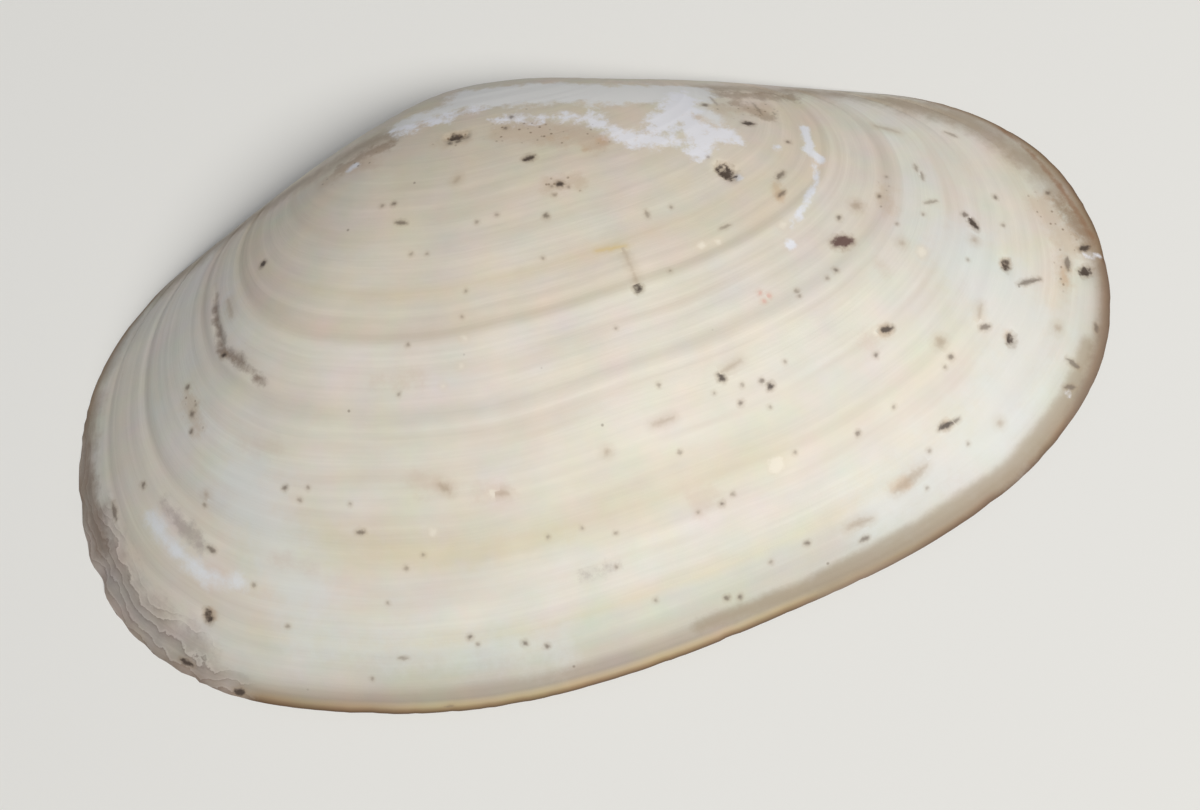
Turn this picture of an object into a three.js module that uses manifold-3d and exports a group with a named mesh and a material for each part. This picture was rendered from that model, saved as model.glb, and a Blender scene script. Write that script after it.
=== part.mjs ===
// Pipi shell: one valve of a surf clam, lying dome side up on its rim.
// Millimetres, +Z up, +X towards the longer front end, +Y towards the beak.
// A shell grows by adding rims. Each rim seen from the beak has the same outline,
// only larger, and opens a little further about the hinge line. So every rim here
// is the last one, shrunk towards the beak and turned up about the hinge.
import * as THREE from 'three';
import { mergeVertices } from 'three/addons/utils/BufferGeometryUtils.js';
import Module from 'manifold-3d';

const wasm = await Module();
wasm.setup();

// The last rim seen from above, as points from the beak that a smooth curve joins.
const MARGIN = [
  [0.0, -1.0], [-6.6, -3.0], [-13.6, -5.3], [-20.4, -8.2], [-25.2, -13.8],
  [-26.7, -21.2], [-25.0, -28.0], [-20.2, -32.9], [-13.0, -35.6], [-5.0, -36.8],
  [3.0, -36.3], [11.5, -34.6], [20.0, -32.2], [27.0, -28.6], [31.8, -23.4],
  [33.3, -17.2], [31.7, -11.0], [27.2, -6.5], [21.0, -4.0], [14.0, -2.9], [7.0, -1.8],
];
const MARGIN_POINTS = 72;      // points round one rim

const OUTSIDE_TURN = 1.94;     // radians from the last rim to the beak, on the outside
const INSIDE_TURN = 1.75;      // less on the inside, so the wall thickens to the beak
const OUTSIDE_HINGE = 0;       // the line that the outside turns about, in Y
const INSIDE_HINGE = -1.7;
const RIM_WIDTH = 1.0;         // flat edge that the valve rests on
const OUTSIDE_RIMS = 25;
const INSIDE_RIMS = 15;
const BEAK_STAGE = 0.025;      // size of the smallest rim, with the last one as 1
const HOLLOW_STAGE = 0.05;
const UNDER = 1.0;             // cuts start this far below the rim

// Growth checks, where growth stopped for a season: the rim's stage then, and the
// depth of the groove that it left.
const CHECKS = [
  { stage: 0.56, depth: 0.2 },
  { stage: 0.655, depth: 0.14 },
  { stage: 0.81, depth: 0.2 },
  { stage: 0.915, depth: 0.14 },
];
const CHECK_WIDTH = 0.011;     // half of a groove, in stages
const BESIDE_CHECK = 0.018;    // the rims on either side of a groove's lowest one

// The hinge is a shelf inside the top edge. It has the three-cornered pit of the
// inner ligament under the beak, two small teeth, and a long socket on each side.
const SHELF = { low: 0.45, high: 2.2 };
const SHELF_LIP = [[-18, -7.4], [-9, -7.3], [-0.5, -7.2], [10, -5.9], [20, -4.9]];
const SHELF_TOP = [[10, -2.6], [0, -1.3], [-9.5, -4.2]];
const PIT = [[-1.3, -2.6], [-3.2, -9.0], [2.0, -9.0], [0.1, -2.6]];
const PIT_DEPTH = 1.0;
const SOCKET = { length: 7.0, width: 1.2, low: -UNDER, high: 1.25 };
const SOCKETS = [{ x: -9.2, y: -5.6, turn: 0.27 }, { x: 10.8, y: -4.3, turn: -0.14 }];
const TOOTH = { length: 3.0, width: 0.7, low: 0.1, high: 1.0 };
const TEETH = [{ x: 2.9, y: -4.6, turn: 1.87 }, { x: 4.6, y: -4.6, turn: 2.12 }];

function lastRim() {
  const points = MARGIN.map(([x, y]) => new THREE.Vector3(x, y, 0));
  const curve = new THREE.CatmullRomCurve3(points, true, 'catmullrom', 0.5);
  return curve.getSpacedPoints(MARGIN_POINTS).slice(0, -1);
}

// The rim moved inwards by the width of the flat edge.
function innerRim(rim) {
  return rim.map((point, i) => {
    const before = rim[(i + rim.length - 1) % rim.length];
    const after = rim[(i + 1) % rim.length];
    const along = after.clone().sub(before).normalize();
    return new THREE.Vector3(point.x - along.y * RIM_WIDTH, point.y + along.x * RIM_WIDTH, 0);
  });
}

// The rim at an earlier stage, its points sunk a little where a check left a groove.
function rimAt(rim, stage, turn, hinge, sunk = 0) {
  const angle = turn * (1 - Math.sqrt(stage));
  return rim.map((point) => {
    const reach = hinge - point.y;
    const size = stage * (1 - sunk / Math.hypot(point.x, reach));
    return new THREE.Vector3(
      point.x * size,
      hinge - reach * size * Math.cos(angle),
      reach * size * Math.sin(angle),
    );
  });
}

function grooveDepth(stage) {
  return CHECKS.reduce((depth, check) => {
    const away = (stage - check.stage) / CHECK_WIDTH;
    return depth + check.depth * Math.exp(-away * away);
  }, 0);
}

// Stages from the last rim to the smallest, at even steps along the surface.
function stages(smallest, count) {
  const end = Math.sqrt(smallest);
  return Array.from({ length: count }, (_, i) => (1 - (i / (count - 1)) * (1 - end)) ** 2);
}

// The even stages, with three close together at each growth check instead.
function outsideStages() {
  const clear = (stage) => CHECKS.every((check) => Math.abs(stage - check.stage) > 1.2 * BESIDE_CHECK);
  const even = stages(BEAK_STAGE, OUTSIDE_RIMS).filter(clear);
  const close = CHECKS.flatMap(({ stage }) => [stage - BESIDE_CHECK, stage, stage + BESIDE_CHECK]);
  return [...even, ...close].sort((a, b) => b - a);
}

// A closed body over a stack of rims, with a fan across the first and the last.
function loft(rims) {
  const count = rims[0].length;
  const position = rims.flat().flatMap((point) => point.toArray());
  const index = [];
  for (let ring = 0; ring + 1 < rims.length; ring += 1) {
    for (let i = 0; i < count; i += 1) {
      const a = ring * count + i;
      const b = ring * count + ((i + 1) % count);
      index.push(a, b, a + count, b, b + count, a + count);
    }
  }
  const fan = (rim, start, turned) => {
    const middle = rim.reduce((sum, point) => sum.add(point), new THREE.Vector3());
    const centre = position.length / 3;
    position.push(...middle.divideScalar(count).toArray());
    for (let i = 0; i < count; i += 1) {
      const a = start + i;
      const b = start + ((i + 1) % count);
      index.push(centre, turned ? a : b, turned ? b : a);
    }
  };
  fan(rims[0], 0, false);
  fan(rims[rims.length - 1], (rims.length - 1) * count, true);
  const geometry = new THREE.BufferGeometry();
  geometry.setAttribute('position', new THREE.Float32BufferAttribute(position, 3));
  geometry.setIndex(index);
  return geometry;
}

// A flat outline raised from one height to another.
function prism(shape, low, high) {
  const options = { depth: high - low, bevelEnabled: false, curveSegments: 10 };
  return new THREE.ExtrudeGeometry(shape, options).translate(0, 0, low);
}

// An upright bar with round ends, turned in plan.
function bar({ length, width, low, high, x, y, turn }) {
  const half = (length - width) / 2;
  const shape = new THREE.Shape();
  shape.absarc(half, 0, width / 2, -Math.PI / 2, Math.PI / 2, false);
  shape.absarc(-half, 0, width / 2, Math.PI / 2, (3 * Math.PI) / 2, false);
  return prism(shape, low, high).rotateZ(turn).translate(x, y, 0);
}

function shelf() {
  const [start, ...lip] = SHELF_LIP.map(([x, y]) => new THREE.Vector2(x, y));
  const shape = new THREE.Shape().moveTo(start.x, start.y);
  shape.splineThru(lip);
  for (const [x, y] of SHELF_TOP) shape.lineTo(x, y);
  shape.closePath();
  return prism(shape, SHELF.low, SHELF.high);
}

function pit() {
  const shape = new THREE.Shape(PIT.map(([x, y]) => new THREE.Vector2(x, y)));
  return prism(shape, -UNDER, SHELF.low + PIT_DEPTH);
}

function solid(geometry) {
  const plain = geometry.clone();
  plain.deleteAttribute('normal');
  plain.deleteAttribute('uv');
  const merged = mergeVertices(plain, 1e-5);
  return new wasm.Manifold(new wasm.Mesh({
    numProp: 3,
    vertProperties: new Float32Array(merged.attributes.position.array),
    triVerts: new Uint32Array(merged.index.array),
  }));
}

function valveSolid() {
  const rim = lastRim();
  const inner = innerRim(rim);
  const outside = solid(loft(outsideStages().map(
    (stage) => rimAt(rim, stage, OUTSIDE_TURN, OUTSIDE_HINGE, grooveDepth(stage)),
  )));
  const mouth = inner.map((point) => new THREE.Vector3(point.x, point.y, -UNDER));
  const hollow = solid(loft([mouth, ...stages(HOLLOW_STAGE, INSIDE_RIMS).map(
    (stage) => rimAt(inner, stage, INSIDE_TURN, INSIDE_HINGE),
  )]));
  let valve = outside.subtract(hollow).add(solid(shelf()).intersect(outside));
  valve = valve.subtract(solid(pit()));
  for (const place of SOCKETS) valve = valve.subtract(solid(bar({ ...SOCKET, ...place })));
  for (const place of TEETH) valve = valve.add(solid(bar({ ...TOOTH, ...place })));
  return valve;
}

function geometryOf(manifold) {
  const mesh = manifold.getMesh();
  const geometry = new THREE.BufferGeometry();
  geometry.setAttribute('position', new THREE.Float32BufferAttribute(mesh.vertProperties, 3));
  geometry.setIndex(Array.from(mesh.triVerts));
  geometry.computeVertexNormals();
  return geometry;
}

// The origin is on the table under the middle of the valve.
function centred(geometry) {
  geometry.computeBoundingBox();
  const middle = geometry.boundingBox.getCenter(new THREE.Vector3());
  return geometry.translate(-middle.x, -middle.y, 0);
}

const shellWhite = new THREE.MeshStandardMaterial({ color: '#d1cabd', roughness: 0.6, metalness: 0 });
const valve = new THREE.Mesh(centred(geometryOf(valveSolid())), shellWhite);
valve.name = 'valve';

const group = new THREE.Group();
group.add(valve);
export default group;
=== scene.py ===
# %% [markdown]
# # A pipi shell
#
# A pipi is a wedge clam of open sandy beaches. This is one of its two valves, empty, worn by
# the surf and lying dome side up. It is one piece of aragonite, so the whole model is one mesh.
#
# What makes a shell look grown is that its shape and its colours follow one rule. The animal
# adds rim after rim, each a little larger than the last. So the rule comes first here. Then
# the surface, its growth lines and most of its colours are all read from the same number, the
# stage of growth, which is 0 at the beak and 1 at the last rim.

import math

import bmesh
import bpy
import numpy as np
from mathutils import Matrix
from mathutils import Vector
from mathutils import noise
from mathutils.bvhtree import BVHTree


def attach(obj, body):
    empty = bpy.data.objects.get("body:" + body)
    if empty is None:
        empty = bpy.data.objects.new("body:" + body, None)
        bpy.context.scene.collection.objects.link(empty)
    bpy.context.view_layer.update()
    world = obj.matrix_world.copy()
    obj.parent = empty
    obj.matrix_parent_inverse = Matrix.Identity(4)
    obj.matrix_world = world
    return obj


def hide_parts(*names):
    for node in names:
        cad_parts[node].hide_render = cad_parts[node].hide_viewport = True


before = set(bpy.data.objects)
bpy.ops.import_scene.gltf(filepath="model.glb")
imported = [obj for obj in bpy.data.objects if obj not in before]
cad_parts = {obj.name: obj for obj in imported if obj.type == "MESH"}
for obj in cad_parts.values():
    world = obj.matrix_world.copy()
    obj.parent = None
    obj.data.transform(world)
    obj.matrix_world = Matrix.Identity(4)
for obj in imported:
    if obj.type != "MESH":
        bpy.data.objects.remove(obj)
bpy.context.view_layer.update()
MM = 0.001

# %% [markdown]
# ## The camera
#
# The camera looks down on the shell from in front of its lower edge, a little to the right,
# and is rolled so that the shell's long axis climbs to the right. It could be placed by eye.
# Here the outline and two growth lines were matched to a drawn shell, which gives the height
# and the roll to a degree. A lens of about 80 mm keeps the near edge from looking too large.

# %% The camera
AZIMUTH = math.radians(6.5)
ELEVATION = math.radians(69.1)
ROLL = math.radians(16.6)
DISTANCE = 151.1 * MM
LENS = 82.1
SENSOR = 36.0
LOOK_AT = Vector((0.5, -3.6, 4.0)) * MM
FRAME_WIDTH = 1200
FRAME_HEIGHT = 810

towards_camera = Vector((
    math.sin(AZIMUTH) * math.cos(ELEVATION),
    -math.cos(AZIMUTH) * math.cos(ELEVATION),
    math.sin(ELEVATION),
))
level_right = Vector((math.cos(AZIMUTH), math.sin(AZIMUTH), 0))
level_up = towards_camera.cross(level_right)
camera_right = level_right * math.cos(ROLL) - level_up * math.sin(ROLL)
camera_up = level_right * math.sin(ROLL) + level_up * math.cos(ROLL)
camera_place = LOOK_AT + towards_camera * DISTANCE

camera = bpy.data.objects.new("camera", bpy.data.cameras.new("camera"))
camera.data.lens = LENS
camera.data.sensor_width = SENSOR
camera.data.clip_start = 10 * MM
turned = Matrix((camera_right, camera_up, towards_camera)).transposed().to_4x4()
camera.matrix_world = Matrix.Translation(camera_place) @ turned
bpy.context.scene.collection.objects.link(camera)
bpy.context.scene.camera = camera
print("camera is", round(DISTANCE / MM), "mm away")

# %% [markdown]
# ## Two helpers
#
# Colours are written as sRGB hex values, as a paint chart gives them. Blender's sockets want
# linear light, so one function turns them. Another adds a node to a tree, sets it, and links
# or fills its inputs, which keeps the long trees below easy to read. The kinds of node that
# come up most have short names.

# %% Helpers for colours and nodes
MATH = "ShaderNodeMath"
VECTOR_MATH = "ShaderNodeVectorMath"
NOISE = "ShaderNodeTexNoise"
MAP_RANGE = "ShaderNodeMapRange"
MIX = "ShaderNodeMix"
ATTRIBUTE = "ShaderNodeAttribute"


def paint(code):
    parts = [int(code[i:i + 2], 16) / 255 for i in (1, 3, 5)]
    linear = [p / 12.92 if p <= 0.04045 else ((p + 0.055) / 1.055) ** 2.4 for p in parts]
    return (*linear, 1.0)


def add(tree, kind, inputs=(), **settings):
    node = tree.nodes.new(kind)
    for name, value in settings.items():
        setattr(node, name, value)
    pairs = inputs.items() if isinstance(inputs, dict) else enumerate(inputs)
    for key, value in pairs:
        if isinstance(value, bpy.types.Node):
            value = value.outputs[0]
        if isinstance(value, bpy.types.NodeSocket):
            tree.links.new(value, node.inputs[key])
        elif value is not None:
            node.inputs[key].default_value = value
    return node


# %% [markdown]
# ## Floor and light
#
# The floor is a plain pale sheet. One large soft light stands to the lower right, where the
# shell is brightest, and the pale world fills the shadows. A small hard lamp would draw a
# sharp shadow and a hot spot, which a shell under an open sky doesn't have.

# %% The floor
FLOOR_HALF = 0.9
floor_mesh = bpy.data.meshes.new("floor")
floor_corners = [(-1, -1), (1, -1), (1, 1), (-1, 1)]
floor_mesh.from_pydata([(x * FLOOR_HALF, y * FLOOR_HALF, 0) for x, y in floor_corners], [], [(0, 1, 2, 3)])
floor = bpy.data.objects.new("floor", floor_mesh)
bpy.context.scene.collection.objects.link(floor)
card = bpy.data.materials.new("matt card")
card.use_nodes = True
card.node_tree.nodes["Principled BSDF"].inputs["Base Color"].default_value = paint("#ececea")
card.node_tree.nodes["Principled BSDF"].inputs["Roughness"].default_value = 0.9
floor_mesh.materials.append(card)
print("floor", 2 * FLOOR_HALF, "m wide")

# %% The lights
bpy.context.scene.view_settings.view_transform = "Standard"


def soft_light(name, place, size, power, tint):
    lamp = bpy.data.lights.new(name, "AREA")
    lamp.shape = "DISK"
    lamp.size = size
    lamp.energy = power
    lamp.color = paint(tint)[:3]
    holder = bpy.data.objects.new(name, lamp)
    aim = Vector(place).to_track_quat("Z", "Y")
    holder.matrix_world = Matrix.Translation(place) @ aim.to_matrix().to_4x4()
    bpy.context.scene.collection.objects.link(holder)


LIGHTS = [   # name, place and width in metres, power in watts, tint
    ("window light", (0.32, -0.29, 0.52), 0.40, 3.87, "#fffcf6"),
    ("fill light", (-0.35, 0.30, 0.55), 0.60, 0.30, "#f2f5ff"),
]
for light in LIGHTS:
    soft_light(*light)
SKY_STRENGTH = 0.26
sky = bpy.data.worlds.new("pale sky")
sky.use_nodes = True
sky.node_tree.nodes["Background"].inputs["Color"].default_value = paint("#f2f4f7")
sky.node_tree.nodes["Background"].inputs["Strength"].default_value = SKY_STRENGTH
bpy.context.scene.world = sky
print(len(LIGHTS), "soft lights and a pale sky")

# %% [markdown]
# ## The rule of growth
#
# A valve could be sculpted, or lofted between drawn sections. But every growth line on a real
# one is an older rim, with the same outline at a smaller size, and an older rim also leans
# further about the hinge line. So the model repeats one outline, shrunk towards the beak and
# turned up about the hinge. Its height, its swelling and the run of its growth lines then all
# come from the outline and two angles. The inside follows the same rule with a smaller angle,
# which thickens the wall towards the beak as in the real shell.

# %% The last rim, from the beak, in millimetres
RIM_POINTS = [
    (0.0, -1.0), (-6.6, -3.0), (-13.6, -5.3), (-20.4, -8.2), (-25.2, -13.8),
    (-26.7, -21.2), (-25.0, -28.0), (-20.2, -32.9), (-13.0, -35.6), (-5.0, -36.8),
    (3.0, -36.3), (11.5, -34.6), (20.0, -32.2), (27.0, -28.6), (31.8, -23.4),
    (33.3, -17.2), (31.7, -11.0), (27.2, -6.5), (21.0, -4.0), (14.0, -2.9), (7.0, -1.8),
]
BEAK = Vector((-3.3, 18.44, 0))   # where the beak is from the middle of the part
rim_count = len(RIM_POINTS)
rim_mesh = bpy.data.meshes.new("last rim")
rim_edges = [(i, (i + 1) % rim_count) for i in range(rim_count)]
rim_mesh.from_pydata([(x, y, 0) for x, y in RIM_POINTS], rim_edges, [])
valve = bpy.data.objects.new("pipi_valve", rim_mesh)
bpy.context.scene.collection.objects.link(valve)
print(rim_count, "points round the last rim")

# %% [markdown]
# ## The valve in Geometry Nodes
#
# The tree takes the outline as its input. It samples a flat grid, one column for each place
# round the rim and one row for each stage, and the rule moves every point of the grid. The
# first rows are the inside, from its top down to the rim. Then the sheet turns over the flat
# edge and climbs the outside to the beak. Points that meet are merged, so the sheet is closed.

# %% A tree with named sizes
SIZES = {
    "Columns": ("NodeSocketInt", 384),
    "Inside rows": ("NodeSocketInt", 46),
    "Outside rows": ("NodeSocketInt", 190),
    "Row spread": ("NodeSocketFloat", 1.2),
    "Outside turn": ("NodeSocketFloat", 1.94),
    "Inside turn": ("NodeSocketFloat", 1.75),
    "Inside hinge": ("NodeSocketFloat", -2.0),
    "Rim width": ("NodeSocketFloat", 1.0),
    "Ridge height": ("NodeSocketFloat", 0.045),
    "Ridges": ("NodeSocketFloat", 62.0),
    "Swell height": ("NodeSocketFloat", 0.10),
    "Seed": ("NodeSocketFloat", 3.0),
}
tree = bpy.data.node_groups.new("grown valve", "GeometryNodeTree")
tree.interface.new_socket("Geometry", in_out="INPUT", socket_type="NodeSocketGeometry")
tree.interface.new_socket("Geometry", in_out="OUTPUT", socket_type="NodeSocketGeometry")
size_ids = {}
for size_name, (socket_type, size_value) in SIZES.items():
    socket = tree.interface.new_socket(size_name, in_out="INPUT", socket_type=socket_type)
    socket.default_value = size_value
    size_ids[size_name] = socket.identifier
given = add(tree, "NodeGroupInput").outputs
print(len(size_ids), "named sizes")

# %% A grid of columns and rows
outline = add(tree, "GeometryNodeMeshToCurve", [given["Geometry"]])
outline = add(tree, "GeometryNodeCurveSplineType", [outline], spline_type="CATMULL_ROM")
outline = add(tree, "GeometryNodeSetSplineResolution", {"Geometry": outline, "Resolution": 24})
all_rows = add(tree, MATH, [given["Inside rows"], given["Outside rows"]], operation="ADD")
all_rows = add(tree, MATH, [all_rows, 1.0], operation="ADD")
row_points = add(tree, MATH, [all_rows, 1.0], operation="ADD")
column_points = add(tree, MATH, [given["Columns"], 1.0], operation="ADD")
grid = add(tree, "GeometryNodeMeshGrid", [1.0, 1.0, column_points, row_points])
flat = add(tree, "ShaderNodeSeparateXYZ", [add(tree, "GeometryNodeInputPosition")])
around = add(tree, MATH, [flat.outputs[0], 0.5], operation="ADD", use_clamp=True)
row = add(tree, MATH, [flat.outputs[1], 0.5], operation="ADD")
row = add(tree, MATH, [row, all_rows], operation="MULTIPLY")
row = add(tree, MATH, [row], operation="ROUND")
print(SIZES["Columns"][1], "columns,", SIZES["Inside rows"][1], "and", SIZES["Outside rows"][1], "rows")

# %% The stage of growth of each row
BEAK_STAGE = 0.012    # the tip is the first tiny rim, closed by one point
HOLLOW_STAGE = 0.05   # the hollow ends here, short of the beak
outside_row = add(tree, MATH, [row, given["Inside rows"]], operation="SUBTRACT")
is_outside = add(tree, MATH, [outside_row, 0.5], operation="GREATER_THAN")
outside_row = add(tree, MATH, [outside_row, 1.0], operation="SUBTRACT")
climbed = add(tree, MATH, [outside_row, given["Outside rows"]], operation="DIVIDE")
left = add(tree, MATH, [1.0, climbed], operation="SUBTRACT", use_clamp=True)
left = add(tree, MATH, [left, given["Row spread"]], operation="POWER")
outside_stage = add(tree, MATH, [left, 1.0 - BEAK_STAGE, BEAK_STAGE], operation="MULTIPLY_ADD")
risen = add(tree, MATH, [row, given["Inside rows"]], operation="DIVIDE", use_clamp=True)
inside_stage = add(tree, MATH, [risen, 1.0 - HOLLOW_STAGE, HOLLOW_STAGE], operation="MULTIPLY_ADD")
stage = add(tree, MIX, {0: is_outside, 2: inside_stage, 3: outside_stage})
turn = add(tree, MIX, {0: is_outside, 2: given["Inside turn"], 3: given["Outside turn"]})
hinge = add(tree, MIX, {0: is_outside, 2: given["Inside hinge"], 3: 0.0})
print("the smallest rims are", BEAK_STAGE, "and", HOLLOW_STAGE, "of the last one")

# %% The rim point that each column grows from
MIDDLE = (3.0, -19.0, 0.0)   # the first and the last row grow from this one point
on_rim = add(tree, "GeometryNodeSampleCurve", {"Curves": outline, "Factor": around}, mode="FACTOR")
rim_at = on_rim.outputs["Position"]
along = on_rim.outputs["Tangent"]
inwards = add(tree, VECTOR_MATH, [(0, 0, 1), along], operation="CROSS_PRODUCT")
is_inside = add(tree, MATH, [1.0, is_outside], operation="SUBTRACT")
inset = add(tree, MATH, [given["Rim width"], is_inside], operation="MULTIPLY")
inwards = add(tree, VECTOR_MATH, {0: inwards, "Scale": inset}, operation="SCALE")
start = add(tree, VECTOR_MATH, [rim_at, inwards], operation="ADD")
is_first = add(tree, MATH, [row, 0.5], operation="LESS_THAN")
is_last = add(tree, MATH, [all_rows, row], operation="SUBTRACT")
is_last = add(tree, MATH, [is_last, 0.5], operation="LESS_THAN")
is_pole = add(tree, MATH, [is_first, is_last], operation="MAXIMUM")
start = add(tree, MIX, {0: is_pole, 4: start, 5: MIDDLE}, data_type="VECTOR")
start = add(tree, "ShaderNodeSeparateXYZ", [start.outputs[1]])
print("the flat edge is", SIZES["Rim width"][1], "mm wide")

# %% The rule: shrink towards the beak, turn about the hinge
root = add(tree, MATH, [stage], operation="SQRT")
lean = add(tree, MATH, [1.0, root], operation="SUBTRACT")
lean = add(tree, MATH, [lean, turn], operation="MULTIPLY")
reach = add(tree, MATH, [hinge, start.outputs[1]], operation="SUBTRACT")
reach = add(tree, MATH, [reach, stage], operation="MULTIPLY")
forward = add(tree, MATH, [lean], operation="COSINE")
forward = add(tree, MATH, [forward, reach], operation="MULTIPLY")
upward = add(tree, MATH, [lean], operation="SINE")
upward = add(tree, MATH, [upward, reach], operation="MULTIPLY")
sideways = add(tree, MATH, [start.outputs[0], stage], operation="MULTIPLY")
forward = add(tree, MATH, [hinge, forward], operation="SUBTRACT")
grown = add(tree, "ShaderNodeCombineXYZ", [sideways, forward, upward])
beak_turn = SIZES["Outside turn"][1] * (1 - math.sqrt(BEAK_STAGE))
print("the rim at the beak has turned by", round(math.degrees(beak_turn)), "degrees")

# %% Keep the stage and the side with the points, for the finishes
MERGED_WITHIN = 0.0003   # mm, less than the sides of the smallest faces at the beak
CARRIED = [
    ("growth", stage, "FLOAT"), ("outside", is_outside, "FLOAT"), ("rim place", rim_at, "FLOAT_VECTOR"),
]
body = grid
for label, value, kind in CARRIED:
    body = add(tree, "GeometryNodeStoreNamedAttribute", {"Geometry": body, "Name": label, "Value": value},
               data_type=kind, domain="POINT")
body = add(tree, "GeometryNodeSetPosition", {"Geometry": body, "Position": grown})
body = add(tree, "GeometryNodeMergeByDistance", {"Geometry": body, "Distance": MERGED_WITHIN})
print(len(CARRIED), "values go with the points")

# %% [markdown]
# ## The relief
#
# Growth lines are low ridges along the old rims. Where growth stopped for a season there is a
# shallow groove, a growth check. A bump map alone would leave the outline and the mesh bare,
# so the larger ridges, the checks and the slight swell of the wall are real. Noise that reads
# only the stage makes ridges that follow every rim, and a slower noise bends them a little.

# %% Ridges, checks and swell
CHECKS = [(0.56, 0.10), (0.655, 0.07), (0.81, 0.09), (0.915, 0.07)]   # stage, depth in mm
CHECK_WIDTH = 0.008     # in stages
WANDER = 0.012          # how far a growth line strays, in stages
WANDER_SCALE = 0.12     # one bend in about 8 mm
SWELL_SCALE = 0.11      # one swell in about 9 mm
kept = add(tree, "GeometryNodeInputNamedAttribute", {"Name": "growth"}, data_type="FLOAT")
place = add(tree, "GeometryNodeInputPosition")
wander = add(tree, NOISE, {"Vector": place, "Scale": WANDER_SCALE, "Detail": 1.0})
wander = add(tree, MATH, [wander, WANDER, -WANDER / 2], operation="MULTIPLY_ADD")
bent = add(tree, MATH, [kept, wander], operation="ADD")
ridge_at = add(tree, MATH, [bent, given["Ridges"], given["Seed"]], operation="MULTIPLY_ADD")
ridge = add(tree, NOISE, {"W": ridge_at, "Scale": 1.0, "Detail": 2.0, "Roughness": 0.6},
            noise_dimensions="1D")
ridge = add(tree, MATH, [ridge, 0.5], operation="SUBTRACT")
ridge = add(tree, MATH, [ridge, given["Ridge height"]], operation="MULTIPLY")
swell = add(tree, NOISE, {"Vector": place, "Scale": SWELL_SCALE, "Detail": 2.0})
swell = add(tree, MATH, [swell, 0.5], operation="SUBTRACT")
relief = add(tree, MATH, [swell, given["Swell height"], ridge], operation="MULTIPLY_ADD")
for check_stage, check_depth in CHECKS:
    away = add(tree, MATH, [bent, check_stage], operation="SUBTRACT")
    away = add(tree, MATH, [away, CHECK_WIDTH], operation="DIVIDE")
    away = add(tree, MATH, [away, away], operation="MULTIPLY")
    away = add(tree, MATH, [away, -1.0], operation="MULTIPLY")
    groove = add(tree, MATH, [away], operation="EXPONENT")
    relief = add(tree, MATH, [groove, -check_depth, relief], operation="MULTIPLY_ADD")
print(len(CHECKS), "growth checks")

# %% The relief fades out at the rim and at the beak, and the part rests flat
FULL_RELIEF = (0.06, 0.985)   # from this stage to this one
side = add(tree, "GeometryNodeInputNamedAttribute", {"Name": "outside"}, data_type="FLOAT")
near_rim = add(tree, MAP_RANGE, [kept, FULL_RELIEF[1], 1.0, 1.0, 0.0])
near_beak = add(tree, MAP_RANGE, [kept, BEAK_STAGE, FULL_RELIEF[0], 0.0, 1.0])
relief = add(tree, MATH, [relief, near_rim], operation="MULTIPLY")
relief = add(tree, MATH, [relief, near_beak], operation="MULTIPLY")
relief = add(tree, MATH, [relief, side], operation="MULTIPLY")
push = add(tree, VECTOR_MATH, {0: add(tree, "GeometryNodeInputNormal"), "Scale": relief}, operation="SCALE")
body = add(tree, "GeometryNodeSetPosition", {"Geometry": body, "Offset": push})
in_frame = add(tree, VECTOR_MATH, [place, tuple(BEAK)], operation="ADD")
in_frame = add(tree, VECTOR_MATH, {0: in_frame, "Scale": MM}, operation="SCALE")
body = add(tree, "GeometryNodeSetPosition", {"Geometry": body, "Position": in_frame})
body = add(tree, "GeometryNodeSetShadeSmooth", {"Geometry": body})
print("full relief from stage", FULL_RELIEF[0], "to", FULL_RELIEF[1])

# %% Finishes for the two sides
worn_shell = bpy.data.materials.new("worn aragonite")
worn_shell.use_nodes = True
smooth_shell = bpy.data.materials.new("porcelain shell lining")
smooth_shell.use_nodes = True
body = add(tree, "GeometryNodeRealizeInstances", [body])
body = add(tree, "GeometryNodeSetMaterial", {"Geometry": body, "Material": worn_shell})
is_lined = add(tree, MATH, [side, 0.75], operation="LESS_THAN")   # the flat edge too
body = add(tree, "GeometryNodeSetMaterial",
           {"Geometry": body, "Selection": is_lined, "Material": smooth_shell})
add(tree, "NodeGroupOutput", [body])
grower = valve.modifiers.new("grown valve", "NODES")
grower.node_group = tree
for size_name, (socket_type, size_value) in SIZES.items():
    grower[size_ids[size_name]] = size_value
print(len(tree.nodes), "nodes grow the valve")

# %% The tree's result becomes a plain mesh
seen = valve.evaluated_get(bpy.context.evaluated_depsgraph_get())
valve_mesh = bpy.data.meshes.new_from_object(seen)
valve.modifiers.remove(grower)
valve.data = valve_mesh
bpy.data.meshes.remove(rim_mesh)
valve_mesh.name = "pipi_valve"
valve_mesh.materials.pop(index=0)   # the grid's own empty slot
triangle_count = sum(len(face.vertices) - 2 for face in valve_mesh.polygons)
print(len(valve_mesh.vertices), "points,", triangle_count, "triangles",
      list(valve_mesh.materials))

# %% [markdown]
# ## The hinge
#
# Inside the top edge a shelf carries the hinge: the three-cornered pit of the inner ligament
# under the beak, two small teeth, and a long socket on each side that took the teeth of the
# other valve. These follow no rule of growth that a grid could hold, so they are drawn flat,
# raised to small solids, and joined to the valve or cut from it, as a carver would do it.

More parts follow.
